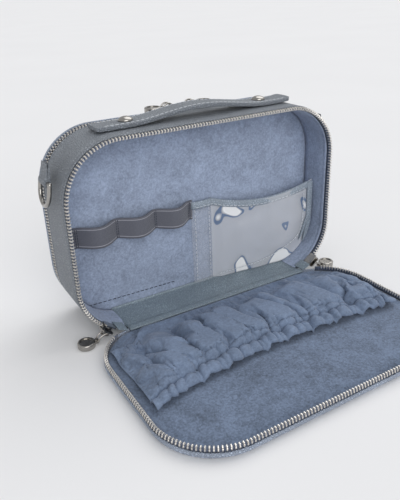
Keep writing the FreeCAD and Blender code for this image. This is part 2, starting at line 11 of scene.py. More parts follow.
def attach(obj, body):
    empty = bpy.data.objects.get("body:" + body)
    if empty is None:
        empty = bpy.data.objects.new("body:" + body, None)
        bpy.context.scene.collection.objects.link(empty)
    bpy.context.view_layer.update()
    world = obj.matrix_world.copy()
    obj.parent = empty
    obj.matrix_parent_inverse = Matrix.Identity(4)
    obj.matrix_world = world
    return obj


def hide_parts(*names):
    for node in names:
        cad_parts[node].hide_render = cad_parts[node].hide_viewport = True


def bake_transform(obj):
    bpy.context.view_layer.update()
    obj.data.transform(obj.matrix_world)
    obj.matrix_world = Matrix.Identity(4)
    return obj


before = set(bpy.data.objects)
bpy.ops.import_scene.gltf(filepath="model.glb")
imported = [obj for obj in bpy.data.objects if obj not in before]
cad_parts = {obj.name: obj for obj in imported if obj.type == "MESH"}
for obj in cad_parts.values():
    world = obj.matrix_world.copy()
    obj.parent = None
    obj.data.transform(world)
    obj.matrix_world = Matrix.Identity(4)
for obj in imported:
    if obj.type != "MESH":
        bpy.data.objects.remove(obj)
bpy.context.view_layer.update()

bl_info = {
    "name": "Travel jewelry case",
    "version": (1, 0, 0),
    "blender": (4, 5, 0),
    "location": "View3D > Sidebar > Jewelry case",
    "description": "Builds a soft leather travel jewelry case around its packed frame",
    "category": "Object",
}

# Teeth line of both zips, in millimetres: width, height, corner radius, height above the floor.
WIDTH, HEIGHT, CORNER, FOOT = 220.0, 139.0, 40.0, 2.0
ARC_X = WIDTH / 2 - CORNER
ARC_LOW, ARC_HIGH, TOP = FOOT + CORNER, FOOT + HEIGHT - CORNER, FOOT + HEIGHT
# Angles below the horizontal at which the teeth and the tape end, round the lower corner arc.
ZIP_END, TAPE_END = 53.0, 59.0
PITCH = 2.3
# Plane of the closed lid's rim, and the front hinge line.
RIM = -26.0
PIVOT = Vector((0, -30.75, 4.25))


# ---- settings ----
def linear(code):
    """sRGB hex to a linear colour."""
    parts = [int(code[i:i + 2], 16) / 255 for i in (0, 2, 4)]
    return tuple(c / 12.92 if c <= 0.04045 else ((c + 0.055) / 1.055) ** 2.4 for c in parts) + (1.0,)


def colour_setting(name, description, code):
    return bpy.props.FloatVectorProperty(name=name, description=description, subtype="COLOR",
                                         size=3, min=0, max=1, default=linear(code)[:3])


class LeatherSettings(bpy.types.PropertyGroup):
    band: colour_setting("Band leather", "Colour of the band and handle", "848A92")
    lid: colour_setting("Lid leather", "Colour of the outer lid panels", "A2ADBF")
    grain: bpy.props.FloatProperty(
        name="Grain", description="Width of one pebble of the leather grain",
        default=0.0016, min=0.0004, max=0.004, unit="LENGTH")


class LiningSettings(bpy.types.PropertyGroup):
    suede: colour_setting("Suede", "Colour of the brushed linings", "8F9BB1")
    # one suede on walls and lids: the lid's darker colour is painted shade for how the nap takes the light
    # there
    lid: colour_setting("Lid suede", "Colour of the lid linings and the gathered pocket", "647288")
    gathers: bpy.props.FloatProperty(
        name="Gathers", description="Width of one gather at the elastic of the lid pocket",
        default=0.0085, min=0.004, max=0.02, unit="LENGTH")


class ZipSettings(bpy.types.PropertyGroup):
    tape: colour_setting("Tape", "Colour of the woven zip tape", "5F6A81")
    metal: colour_setting("Metal", "Colour of the nickel plating", "DBD7D1")


# ---- materials ----
def add(tree, kind, inputs=None, feeds=None, **settings):
    """Add a node; an input takes a value or a socket, and feeds gives the socket that an output drives."""
    node = tree.nodes.new("ShaderNode" + kind)
    for key, value in settings.items():
        setattr(node, key, value)
    for key, value in (inputs or {}).items():
        if isinstance(value, bpy.types.NodeSocket):
            tree.links.new(value, node.inputs[key])
        else:
            node.inputs[key].default_value = value
    for key, target in (feeds or {}).items():
        tree.links.new(node.outputs[key], target)
    return node


def tinted(colour, factor):
    return tuple(min(1.0, c * factor) for c in colour[:3]) + (1.0,)


def new_material(name, **constants):
    """Material with a Principled shader; returns it, its tree, the shader's inputs and object coordinates."""
    made = bpy.data.materials.new(name)
    made.use_nodes = True
    tree = made.node_tree
    tree.nodes.clear()
    shader = add(tree, "BsdfPrincipled", constants)
    add(tree, "OutputMaterial", {"Surface": shader.outputs["BSDF"]})
    where = add(tree, "TexCoord").outputs["Object"]
    return made, tree, shader.inputs, where


def leather(name, colour, grain, depth=0.0009, roughness=0.48):
    """Full-grain leather, embossed with pebbles and dyed through: painted soft broad highlights, painted
    shade in the creases.
    """
    made, tree, surface, where = new_material(name, Roughness=roughness)
    cells = add(tree, "TexVoronoi", {"Vector": where, "Scale": 1 / grain}, feature="DISTANCE_TO_EDGE")
    pebble = add(tree, "MapRange", {"Value": cells.outputs["Distance"], "From Max": 0.34}).outputs["Result"]
    # patches about 22 mm across: rougher where worn, and painted highlight on the pebble tops
    wear_and_highlight = add(tree, "TexNoise", {"Vector": where, "Scale": 45.0, "Detail": 4.0}).outputs["Fac"]
    amount = add(tree, "Math", {0: pebble, 1: wear_and_highlight}, operation="MULTIPLY").outputs[0]
    # painted shade in the creases between pebbles, and painted highlight on the pebble tops in the broad
    # patches
    add(tree, "Mix", {0: amount, 6: tinted(colour, 0.72), 7: tinted(colour, 1.75)},
        {2: surface["Base Color"]}, data_type="RGBA")
    add(tree, "MapRange", {"Value": wear_and_highlight, "To Min": roughness - 0.08, "To Max": roughness + 0.1},
        {"Result": surface["Roughness"]})
    add(tree, "Bump", {"Strength": 0.8, "Distance": depth, "Height": pebble}, {"Normal": surface["Normal"]})
    return made


def suede(name, colour, contrast=0.3, sheen=0.3):
    """Microsuede, brushed so that the nap lies in patches: matt, with light and dark clouds and a sheen."""
    made, tree, surface, where = new_material(
        name, **{"Roughness": 0.93, "Sheen Weight": sheen, "Sheen Roughness": 0.45,
                 "Sheen Tint": linear("EFF3FF")})
    # clouds 28 mm across, finger marks about 5 mm, brush flecks of 1.4 mm, nap of 0.7 mm
    total = None
    layers = ((36.0, 4.0, 0.9, 0.7), (210.0, 3.0, 1.6, 0.7), (700.0, 2.0, 0.6, 0.8))
    for scale, detail, twist, share in layers:
        layer = add(tree, "TexNoise", {"Vector": where, "Scale": scale, "Detail": detail, "Roughness": 0.6,
                                       "Distortion": twist})
        part = add(tree, "MapRange", {"Value": layer.outputs["Fac"], "From Min": 0.32, "From Max": 0.68,
                                      "To Min": -share / 2, "To Max": share / 2}).outputs["Result"]
        total = part if total is None else add(tree, "Math", {0: total, 1: part}, operation="ADD").outputs[0]
    level = add(tree, "MapRange", {"Value": total, "From Min": -0.9, "From Max": 0.9}).outputs["Result"]
    add(tree, "Mix", {0: level, 6: tinted(colour, 1 - contrast), 7: tinted(colour, 1 + contrast)},
        {2: surface["Base Color"]}, data_type="RGBA")
    nap = add(tree, "TexNoise", {"Vector": where, "Scale": 1500.0, "Detail": 2.0}).outputs["Fac"]
    add(tree, "Bump", {"Strength": 0.7, "Distance": 0.0003, "Height": nap}, {"Normal": surface["Normal"]})
    return made


def woven(name, light, dark):
    """Woven polyester tape: crossing threads 0.6 mm wide, matt."""
    made, tree, surface, where = new_material(name, **{"Roughness": 0.8, "Sheen Weight": 0.2})
    thread_width = 0.0006
    across, along = [
        add(tree, "TexWave", {"Vector": where, "Scale": 0.314 / thread_width / 2, "Distortion": 0.4},
            bands_direction=axis).outputs["Fac"] for axis in ("X", "Z")]
    weave = add(tree, "Math", {0: across, 1: along}, operation="MULTIPLY").outputs[0]
    add(tree, "Mix", {0: weave, 6: dark, 7: light},
        {2: surface["Base Color"]}, data_type="RGBA")
    add(tree, "Bump", {"Strength": 0.4, "Distance": 0.00015, "Height": weave}, {"Normal": surface["Normal"]})
    return made


def nickel(name, colour, roughness):
    """Nickel plate on zinc, tumbled and polished: bright, slightly warm, with faint handling marks."""
    made, tree, surface, where = new_material(name, Metallic=1.0)
    # marks about 2.4 mm across
    marks = add(tree, "TexNoise", {"Vector": where, "Scale": 420.0, "Detail": 5.0}).outputs["Fac"]
    add(tree, "MapRange", {"Value": marks, "To Min": roughness - 0.06, "To Max": roughness + 0.16},
        {"Result": surface["Roughness"]})
    add(tree, "Mix", {0: marks, 6: tinted(colour, 0.86), 7: tinted(colour, 1.12)},
        {2: surface["Base Color"]}, data_type="RGBA")
    return made


def webbing(name, body, edge):
    """Elastic webbing, knitted over rubber: fine ribs 0.19 mm apart, with a paler stripe near each edge."""
    made, tree, surface, where = new_material(name, **{"Roughness": 0.85, "Sheen Weight": 0.15})
    uv = add(tree, "UVMap", uv_map="along").outputs["UV"]
    part = add(tree, "SeparateXYZ", {"Vector": uv})
    middle = add(tree, "Math", {0: part.outputs["Y"], 1: 0.5}, operation="SUBTRACT")
    away = add(tree, "Math", {0: middle.outputs[0]}, operation="ABSOLUTE")
    stripe = add(tree, "Math", {0: away.outputs[0], 1: 0.40, 2: 0.018}, operation="COMPARE")
    ribs = add(tree, "TexWave", {"Vector": uv, "Scale": 27.0, "Distortion": 0.2}, bands_direction="X")
    fleck = add(tree, "TexNoise", {"Vector": where, "Scale": 900.0, "Detail": 2.0})
    tone = add(tree, "Math", {0: ribs.outputs["Fac"], 1: fleck.outputs["Fac"]},
               operation="MULTIPLY").outputs[0]
    base = add(tree, "Mix", {0: tone, 6: tinted(body, 0.75), 7: tinted(body, 1.25)}, data_type="RGBA")
    add(tree, "Mix", {0: stripe.outputs[0], 6: base.outputs[2], 7: edge},
        {2: surface["Base Color"]}, data_type="RGBA")
    add(tree, "Bump", {"Strength": 0.5, "Distance": 0.0002, "Height": tone}, {"Normal": surface["Normal"]})
    return made


def clear_film(name):
    """Clear soft vinyl, 0.4 mm, calendered: see-through with a milky tint. The glare where it buckles is
    painted in as pale patches, each with a darker painted reflection round it, and both are made more opaque.
    """
    made, tree, surface, where = new_material(name, **{"Roughness": 0.06, "Alpha": 0.2})
    # buckles about 24 mm apart
    waves = add(tree, "TexNoise",
                {"Vector": where, "Scale": 42.0, "Detail": 0.8, "Distortion": 0.5}).outputs["Fac"]
    # painted reflection: the crests of the buckle noise turn near-white
    glare = add(tree, "MapRange", {"Value": waves, "From Min": 0.665, "From Max": 0.685}).outputs["Result"]
    # painted dark reflection in a thin ring round each glare patch
    rim = add(tree, "Math", {0: waves, 1: 0.645, 2: 0.016}, operation="COMPARE").outputs[0]
    plain = add(tree, "Mix", {0: rim, 6: linear("DFE2E8"), 7: linear("7486A2")}, data_type="RGBA")
    add(tree, "Mix", {0: glare, 6: plain.outputs[2], 7: linear("FAFBFC")},
        {2: surface["Base Color"]}, data_type="RGBA")
    # the painted reflections are more opaque than the plain milky film
    both = add(tree, "Math", {0: glare, 1: rim}, operation="MAXIMUM")
    haze_and_reflection_alpha = add(tree, "MapRange", {"Value": both.outputs[0], "To Min": 0.40, "To Max": 0.80})
    # the narrow sleeve at the left lies flat, so it is clearer
    across = add(tree, "SeparateXYZ", {"Vector": where})
    wide = add(tree, "MapRange",
               {"Value": across.outputs["X"], "From Min": 0.0115, "From Max": 0.0125, "To Min": 0.3})
    add(tree, "Math", {0: haze_and_reflection_alpha.outputs["Result"], 1: wide.outputs["Result"]}, {0: surface["Alpha"]},
        operation="MULTIPLY")
    add(tree, "Bump", {"Strength": 0.3, "Distance": 0.002, "Height": waves}, {"Normal": surface["Normal"]})
    return made


def thread(name, colour):
    """Bonded polyester thread, twisted: small matt dashes."""
    made, tree, surface, where = new_material(name, Roughness=0.7)
    # twist of 0.45 mm
    twist = add(tree, "TexNoise", {"Vector": where, "Scale": 2200.0, "Detail": 1.0}).outputs["Fac"]
    add(tree, "Mix", {0: twist, 6: tinted(colour, 0.8), 7: tinted(colour, 1.2)},
        {2: surface["Base Color"]}, data_type="RGBA")
    return made


def studio_card():
    """Matt studio card, rolled and uncoated: pale, with a faint mottle a third of a metre wide."""
    made, tree, surface, where = new_material("Matt studio card", Roughness=0.9)
    tone = add(tree, "TexNoise", {"Vector": where, "Scale": 3.0}).outputs["Fac"]
    add(tree, "Mix", {0: tone, 6: linear("E4E4E5"), 7: linear("E9E9EA")},
        {2: surface["Base Color"]}, data_type="RGBA")
    return made


MATERIALS = {}


def build_materials():
    scene = bpy.context.scene
    skin, lining, zips = scene.case_leather, scene.case_lining, scene.case_zip
    MATERIALS.update(
        band=leather("Pebbled leather, slate", tuple(skin.band), skin.grain),
        lid=leather("Pebbled leather, pale blue", tuple(skin.lid), skin.grain),
        smooth=leather("Smooth leather, slate", linear("84929C"), 0.0016, 0.0002, 0.46),
        binding=leather("Smooth leather binding", linear("8E99A5"), 0.0016, 0.00006, 0.5),
        suede=suede("Brushed microsuede, wall", tuple(lining.suede), 0.34),
        # lid suede: the same fabric in its darker colour, painted shade
        suede_lid=suede("Brushed microsuede, lid", tuple(lining.lid), 0.52),
        # gathered pocket: the lid suede made 1.2 times paler, painted light
        gathered=suede("Gathered microsuede", tinted(tuple(lining.lid), 1.2), 0.3, 0.2),
        tape=woven("Woven zip tape", tuple(zips.tape) + (1.0,), tinted(tuple(zips.tape), 0.6)),
        # the nickel of the studs and fittings is the teeth's nickel darkened to 0.55: painted dark
        # reflections
        metal=nickel("Polished nickel plate", tinted(tuple(zips.metal), 0.55), 0.14),
        teeth=nickel("Nickel zip teeth", tuple(zips.metal), 0.24),
        elastic=webbing("Elastic webbing", linear("666872"), linear("9A9AA2")),
        film=clear_film("Clear vinyl film"),
        dark_thread=thread("Dark blue thread", linear("2A313F")),
        pale_thread=thread("Pale grey thread", linear("C9CED4")),
    )


# ---- shaping helpers, in millimetres ----
def finish_piece(name, bm, material, body=None, replaces=(), smooth=True):
    """Turn a mesh in millimetres into a finished piece in metres at the origin."""
    bmesh.ops.scale(bm, vec=(0.001,) * 3, verts=bm.verts)
    mesh = bpy.data.meshes.new(name)
    bm.to_mesh(mesh)
    bm.free()
    made = bpy.data.objects.new(name, mesh)
    bpy.context.scene.collection.objects.link(made)
    mesh.materials.append(MATERIALS[material])
    if smooth:
        mesh.polygons.foreach_set("use_smooth", [True] * len(mesh.polygons))
    if body:
        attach(made, body)
    if replaces:
        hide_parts(*replaces)
    return made


def sharpen(made):
    """Keep edges over 50 degrees crisp while the rest shades smooth."""
    made.data.set_sharp_from_angle(angle=math.radians(50))


def outward(bm):
    bmesh.ops.recalc_face_normals(bm, faces=bm.faces)


def face_toward(bm, toward):
    """Turn an open sheet so that its faces look along a direction."""
    bm.normal_update()
    if sum(f.normal.dot(Vector(toward)) for f in bm.faces) < 0:
        bmesh.ops.reverse_faces(bm, faces=bm.faces)


def thicken(bm, thickness):
    """Give a sheet its thickness behind its face."""
    bmesh.ops.solidify(bm, geom=bm.faces[:], thickness=thickness)


def soften(bm, geom, offset, segments=2):
    return bmesh.ops.bevel(bm, geom=geom, offset=offset, segments=segments, affect="EDGES",
                           profile=0.5, material=-1)


def grid(across, up, half=1.0):
    bm = bmesh.new()
    bmesh.ops.create_grid(bm, x_segments=across, y_segments=up, size=half)
    return bm


def strip(bm, points, closed=False):
    """Edges joining a row of points."""
    verts = [bm.verts.new(p) for p in points]
    pairs = list(zip(verts, verts[1:])) + ([(verts[-1], verts[0])] if closed else [])
    return [bm.edges.new(p) for p in pairs]


def section(bm, points, closed=True):
    """Edges of a cross-section at the bottom centre; points are (outward, y)."""
    return strip(bm, [(0, y, FOOT - r) for r, y in points], closed)


def run_straight(bm, edges, step, count):
    for _ in range(count):
        made = bmesh.ops.extrude_edge_only(bm, edges=edges)["geom"]
        verts = [g for g in made if isinstance(g, bmesh.types.BMVert)]
        edges = [g for g in made if isinstance(g, bmesh.types.BMEdge)]
        bmesh.ops.translate(bm, vec=Vector(step) / count, verts=verts)
    return edges


def run_corner(bm, edges, centre, angle, count):
    verts = list({v for e in edges for v in e.verts})
    made = bmesh.ops.spin(bm, geom=verts + edges, cent=centre, axis=(0, 1, 0),
                          angle=math.radians(angle), steps=count, use_duplicate=False)
    return [g for g in made["geom_last"] if isinstance(g, bmesh.types.BMEdge)]


def run_round(bm, edges, low_turn, low_steps, corner_steps, long_steps, side_steps):
    """Carry edges up over the top and down again; the lower corners turn through an angle of their own."""
    rise = ARC_HIGH - ARC_LOW
    edges = run_corner(bm, edges, (ARC_X, 0, ARC_LOW), -low_turn, low_steps)
    edges = run_straight(bm, edges, (0, 0, rise), side_steps)
    edges = run_corner(bm, edges, (ARC_X, 0, ARC_HIGH), -90, corner_steps)
    edges = run_straight(bm, edges, (-2 * ARC_X, 0, 0), long_steps)
    edges = run_corner(bm, edges, (-ARC_X, 0, ARC_HIGH), -90, corner_steps)
    edges = run_straight(bm, edges, (0, 0, -rise), side_steps)
    return run_corner(bm, edges, (-ARC_X, 0, ARC_LOW), -low_turn, low_steps)


def sweep_full(bm, points, corner_steps, closed=True):
    """Carry a cross-section once round the rounded rectangle."""
    long_steps = 30
    edges = run_straight(bm, section(bm, points, closed), (ARC_X, 0, 0), long_steps // 2)
    edges = run_round(bm, edges, 90, corner_steps, corner_steps, long_steps, 12)
    run_straight(bm, edges, (ARC_X, 0, 0), long_steps // 2)
    bmesh.ops.remove_doubles(bm, verts=bm.verts, dist=0.02)


def sweep_zip(bm, points, down):
    """Carry a cross-section from one end of a zip over the top to the other end."""
    edges = section(bm, points)
    verts = list({v for e in edges for v in e.verts})
    bmesh.ops.translate(bm, vec=(ARC_X, 0, 0), verts=verts)
    turn = Matrix.Rotation(math.radians(-(90 - down)), 3, "Y")
    bmesh.ops.rotate(bm, cent=(ARC_X, 0, ARC_LOW), matrix=turn, verts=verts)
    run_round(bm, edges, down, int(down / 6), 14, 6, 4)
    close_holes(bm)


def close_holes(bm):
    rim = [e for e in bm.edges if e.is_boundary]
    if rim:
        bmesh.ops.holes_fill(bm, edges=rim, sides=0)
    outward(bm)


def ripple(bm, amount, size, seed, keep=None):
    """Soft unevenness of sewn cloth and leather, along the normals."""
    bm.normal_update()
    for v in bm.verts:
        if keep is None or keep(v.co):
            v.co += v.normal * amount * noise.noise(v.co / size + Vector((seed, 0, 0)))


def open_down(bm):
    """Swing a closed front lid piece down onto the floor."""
    bmesh.ops.rotate(bm, cent=PIVOT, matrix=Matrix.Rotation(math.radians(90), 3, "X"), verts=bm.verts)


def to_back(bm):
    """Mirror a closed front piece to the back."""
    bmesh.ops.scale(bm, vec=(1, -1, 1), verts=bm.verts)
    bmesh.ops.reverse_faces(bm, faces=bm.faces)


def line_point(s):
    """Point and outward angle on the right half of the teeth line, s from the top centre."""
    quarter = CORNER * math.pi / 2
    if s <= ARC_X:
        return s, TOP, 90.0
    s -= ARC_X
    if s <= quarter:
        t = math.pi / 2 - s / CORNER
        return ARC_X + CORNER * math.cos(t), ARC_HIGH + CORNER * math.sin(t), math.degrees(t)
    s -= quarter
    if s <= ARC_HIGH - ARC_LOW:
        return WIDTH / 2, ARC_HIGH - s, 0.0
    t = -(s - ARC_HIGH + ARC_LOW) / CORNER
    return ARC_X + CORNER * math.cos(t), ARC_LOW + CORNER * math.sin(t), math.degrees(t)


def line_length(angle):
    return ARC_X + CORNER * (math.pi / 2 + math.radians(angle)) + ARC_HIGH - ARC_LOW


def on_line(s, side=1):
    """Matrix that places +X down the zip and +Z outward at s on one side."""
    x, z, angle = line_point(abs(s))
    place = Matrix.Translation((x, 0, z)) @ Matrix.Rotation(math.radians(90 - angle), 4, "Y")
    return Matrix.Scale(-1, 4, (1, 0, 0)) @ place if side < 0 else place


def block(bm, low, high, matrix, bevel):
    """Box with softened edges between two corners."""
    low, high = Vector(low), Vector(high)
    place = Matrix.Translation((low + high) / 2) @ Matrix.Diagonal((high - low).to_4d())
    made = bmesh.ops.create_cube(bm, size=1.0, matrix=place)["verts"]
    edges = list({e for v in made for e in v.link_edges})
    faces = soften(bm, made + edges, bevel, 1)["faces"]
    made = list({v for f in faces for v in f.verts} | {v for v in made if v.is_valid})
    bmesh.ops.transform(bm, matrix=matrix, verts=made)


def stitches(name, path, material, length, gap, thick, up=(0, -1, 0)):
    """Row of thread dashes along a line of points."""
    bm = bmesh.new()
    runs = [(b - a).length for a, b in zip(path, path[1:])]
    total = sum(runs)
    s = gap
    up = Vector(up)
    while s + length < total:
        ends = []
        for at in (s, s + length):
            rest = at
            for run, a, b in zip(runs, path, path[1:]):
                if rest <= run:
                    ends.append(a.lerp(b, rest / run))
                    break
                rest -= run
        a, b = ends
        along = (b - a).normalized()
        across = up.cross(along).normalized()
        turn = Matrix((along, across, up.normalized())).transposed().to_4x4()
        block(bm, (-length / 2, -thick / 2, -thick * 0.35), (length / 2, thick / 2, thick * 0.45),
              Matrix.Translation((a + b) / 2) @ turn, thick * 0.25)
        s += length + gap
    outward(bm)
    finish_piece(name, bm, material, "case")


def edge_distance(x, z, offset):
    """How far inside the rounded rectangle a point lies."""
    over_x, over_z = abs(x) - ARC_X, abs(z - (FOOT + HEIGHT / 2)) - (ARC_HIGH - ARC_LOW) / 2
    if over_x > 0 or over_z > 0:
        return CORNER + offset - math.hypot(max(over_x, 0), max(over_z, 0))
    return CORNER + offset + min(-over_x, -over_z)


def rounded_sheet(offset, across, up):
    """Grid in the shape of the rounded rectangle, facing the front."""
    bm = grid(across, up)
    half_x, half_z = WIDTH / 2 + offset, HEIGHT / 2 + offset
    r = CORNER + offset
    for v in bm.verts:
        x, z = v.co.x * half_x, v.co.y * half_z
        dx, dz = abs(x) - (half_x - r), abs(z) - (half_z - r)
        if dx > 0 and dz > 0:
            pull = max(dx, dz) / math.hypot(dx, dz)
            x = math.copysign(half_x - r + dx * pull, x)
            z = math.copysign(half_z - r + dz * pull, z)
        v.co = (x, 0, z + FOOT + HEIGHT / 2)
    outward(bm)
    face_toward(bm, (0, -1, 0))
    return bm


# ---- shell and linings ----
def band_profile():
    """Band leather with turned edges: a roll, a pressed crease, then the plain face."""
    half = [(2.0, 0.0), (1.98, 5.0), (1.96, 10.0), (1.94, 14.0), (1.9, 17.0), (1.72, 17.7), (1.5, 18.0),
            (1.72, 18.3), (2.0, 18.8), (2.0, 19.5), (1.85, 20.1), (1.4, 20.5), (0.9, 20.45), (0.65, 20.1)]
    return half + [(r, -y) for r, y in reversed(half[1:])]


def make_band():
    bm = bmesh.new()
    sweep_full(bm, band_profile(), 18)
    outward(bm)
    ripple(bm, 0.16, 24.0, 1.0, lambda p: p.z > 1.2)
    finish_piece("band", bm, "band", "case", ("body_band",))


def make_wall_lining(name, node, front, back):
    """Wall lining with a rolled free edge, lying against the stiffener."""
    skin = -1.85
    profile = [(-0.95, front), (-1.2, front), (-1.6, front + 0.15), (skin, front + 0.8),
               (skin - 0.05, front + 2.0), (skin + 0.35, front + 3.0), (skin, front + 3.8)]
    count = max(2, int((back - front - 4) / 4))
    profile += [(skin, front + 3.8 + (back - front - 3.8) * (i + 1) / count) for i in range(count)]
    profile += [(-0.95, back)]
    bm = bmesh.new()
    sweep_full(bm, profile, 16)
    outward(bm)
    ripple(bm, 0.25, 16.0, 3.0, lambda p: edge_distance(p.x, p.z, 0.0) > 1.5)
    return finish_piece(name, bm, "suede", "case", (node,))


def make_divider_lining(name, node, y, facing, seed):
    """Divider lining drawn over the board, slightly pillowed inside its sewn edge."""
    inset = -0.98
    bm = rounded_sheet(inset, 110, 74)
    for v in bm.verts:
        d = edge_distance(v.co.x, v.co.z, inset)
        soft = 1 - math.exp(-d / 5.0)
        uneven = noise.noise(v.co / 34 + Vector((seed, 0, 0))) * 0.5
        uneven += noise.noise(v.co / 13 + Vector((seed, 4, 0))) * 0.22
        v.co.y = 0.5 - (0.45 + 0.45 * uneven) * soft
    thicken(bm, 0.8)
    if facing > 0:
        to_back(bm)
    bmesh.ops.translate(bm, vec=(0, y, 0), verts=bm.verts)
    outward(bm)
    finish_piece(name, bm, "suede", "case", (node,))


def make_lid_shell(name, node, body, place):
    """Lid leather: turned rim, pressed crease, rounded edge and a soft, faintly crowned panel."""
    profile = [(0.75, 4.9), (0.68, 3.9), (0.85, 3.68), (1.3, 3.6), (1.7, 3.7), (1.8, 4.0), (1.8, 4.4)]
    for i in range(8):
        a = math.radians(90 * i / 7)
        profile.append((-2.2 + 4.0 * math.cos(a), 5.0 + 4.0 * math.sin(a)))
    profile += [(-4.0, 8.99), (-6.0, 8.95), (-9.0, 8.95)]
    bm = bmesh.new()
    sweep_full(bm, [(r, RIM - t) for r, t in profile], 18, closed=False)
    inner = [e for e in bm.edges if e.is_boundary and all(abs(v.co.y - (RIM - 8.95)) < 0.01 for v in e.verts)]
    made = bmesh.ops.contextual_create(bm, geom=inner)["faces"]
    for _ in range(3):
        bmesh.ops.inset_region(bm, faces=made, thickness=7.0, use_even_offset=True)
    outward(bm)
    ripple(bm, 0.1, 22.0, 5.0, lambda p: p.y > RIM - 8.6)
    thicken(bm, 1.1)
    place(bm)
    outward(bm)
    sharpen(finish_piece(name, bm, "lid", body, (node,)))


def make_lid_pad(name, nodes, body, place, seed):
    """Padded lid lining: a rolled border, a sewn channel inside it and a soft crowned field over foam."""
    inset = -0.2
    bm = rounded_sheet(inset, 120, 80)
    for v in bm.verts:
        d = edge_distance(v.co.x, v.co.z, inset)
        border = 0.55 * math.exp(-((d - 2.0) / 1.3) ** 2)
        seam = 0.8 * math.exp(-((d - 4.9) / 0.75) ** 2)
        crown = 0.35 * (1 - math.exp(-max(0, d - 5) / 9.0)) if d > 5 else 0.0
        uneven = noise.noise(v.co / 26 + Vector((seed, 0, 0))) * 0.22
        uneven += noise.noise(v.co / 9 + Vector((seed, 4, 0))) * 0.1
        depth = 4.75 - border + seam - crown - uneven * min(1.0, d / 4)
        v.co.y = RIM - max(4.15, depth)
    bmesh.ops.reverse_faces(bm, faces=bm.faces)
    thicken(bm, 1.0)
    place(bm)
    outward(bm)
    return finish_piece(name, bm, "suede_lid", body, nodes)


class CASE_OT_band(bpy.types.Operator):
    """Leather band of the case with its turned edges"""
    bl_idname = "jewelry_case.band"
    bl_label = "Band"

    def execute(self, context):
        make_band()
        return {"FINISHED"}


class CASE_OT_linings(bpy.types.Operator):
    """Suede linings of the walls and the divider"""
    bl_idname = "jewelry_case.linings"
    bl_label = "Wall and divider linings"

    def execute(self, context):
        make_wall_lining("front_wall_suede", "front_wall_lining", -20.5, 4.4)
        back = make_wall_lining("back_wall_suede", "back_wall_lining", -20.5, -8.6)
        back.data.transform(Matrix.Scale(-1, 4, (0, 1, 0)))
        back.data.flip_normals()
        make_divider_lining("divider_front_suede", "divider_front_lining", 4.5, -1, 2.0)
        make_divider_lining("divider_back_suede", "divider_back_lining", 8.5, 1, 7.0)
        return {"FINISHED"}


class CASE_OT_lids(bpy.types.Operator):
    """Both lids: leather shells and padded suede linings"""
    bl_idname = "jewelry_case.lids"
    bl_label = "Lids"

    def execute(self, context):
        make_lid_shell("front_lid_leather", "front_lid_shell", "front_lid", open_down)
        make_lid_shell("back_lid_leather", "back_lid_shell", "back_lid", to_back)
        for lid, place, seed in (("front_lid", open_down, 11.0), ("back_lid", to_back, 17.0)):
            pad = make_lid_pad(lid + "_pad", (lid + "_lining", lid + "_foam"), lid, place, seed)
        return {"FINISHED"}


# ---- zips ----
def make_tape(name, node, body, y0, y1, place=None):
    """Zip tape, woven, with the raised cord its teeth are clamped on."""
    toward = 1 if y1 < y0 else -1
    profile = [(-0.05, y0), (-0.05, y1 + 2.2 * toward), (-0.25, y1 + 1.2 * toward), (-0.3, y1 + 0.5 * toward),
               (0.0, y1), (0.45, y1), (0.75, y1 + 0.5 * toward), (0.7, y1 + 1.2 * toward),
               (0.5, y1 + 2.2 * toward), (0.5, y0)]
    bm = bmesh.new()
    sweep_zip(bm, profile, TAPE_END)
    if place:
        place(bm)
        outward(bm)
    finish_piece(name, bm, "tape", body, (node,))


def tooth(bm, y_foot, y_head, matrix):
    """Zip tooth: clamped legs, a waist and a rounded head."""
    toward = 1 if y_head > y_foot else -1
    neck = y_head - 0.95 * toward
    low, high = sorted((y_foot, neck))
    block(bm, (-0.56, low, -1.15), (0.56, high, 1.6), matrix, 0.3)
    low, high = sorted((neck, y_head))
    block(bm, (-0.54, low, -0.75), (0.54, high, 1.2), matrix, 0.28)


def make_teeth(name, nodes, body, y_foot, y_head, shift, place=None):
    bm = bmesh.new()
    last = line_length(ZIP_END)
    for side in (1, -1):
        s = shift * PITCH
        while s < last - 0.6:
            if side > 0 or s > 0.01:
                tooth(bm, y_foot, y_head, on_line(s, side))
            s += PITCH
    if place:
        place(bm)
    outward(bm)
    finish_piece(name, bm, "teeth", body, nodes, smooth=False)


class CASE_OT_zips(bpy.types.Operator):
    """Zip tapes and metal teeth of both lids"""
    bl_idname = "jewelry_case.zips"
    bl_label = "Zips"

    def execute(self, context):
        make_tape("front_body_zip_tape", "front_body_tape", "case", -16.0, -24.0)
        make_tape("back_body_zip_tape", "back_body_tape", "case", 16.0, 24.0)
        for lid, place in (("front_lid", open_down), ("back_lid", to_back)):
            make_tape(lid + "_zip_tape", lid + "_tape", lid, RIM - 5.0, RIM - 1.0, place)
        make_teeth("front_body_zip_teeth", ("front_body_teeth",), "case", -22.3, -24.95, 0.5)
        make_teeth("back_body_zip_teeth", ("back_body_teeth",), "case", 22.3, 25.0, 0.5)
        front_rows = ("front_lid_teeth", "front_lid_zip_ends")
        make_teeth("front_lid_zip_teeth", front_rows, "front_lid", -28.7, -26.05, 0.0, open_down)
        make_teeth("back_lid_zip_teeth", ("back_lid_teeth",), "back_lid", -28.7, -26.0, 0.0, to_back)
        return {"FINISHED"}


# ---- metal ----
def turned(bm, profile, centre):
    """Spin a profile of (radius, height) about the upright axis through a centre."""
    before = set(bm.verts)
    verts = [bm.verts.new((r, along, 0)) for r, along in profile]
    edges = [bm.edges.new(p) for p in zip(verts, verts[1:])]
    bmesh.ops.spin(bm, geom=verts + edges, cent=(0, 0, 0), axis=(0, 1, 0), angle=math.tau, steps=40,
                   use_merge=True, use_duplicate=False)
    bmesh.ops.remove_doubles(bm, verts=[v for v in bm.verts if v not in before], dist=0.005)
    verts = [v for v in bm.verts if v not in before]
    bmesh.ops.rotate(bm, cent=(0, 0, 0), matrix=Matrix.Rotation(math.radians(90), 3, "X"), verts=verts)
    bmesh.ops.translate(bm, vec=centre, verts=verts)


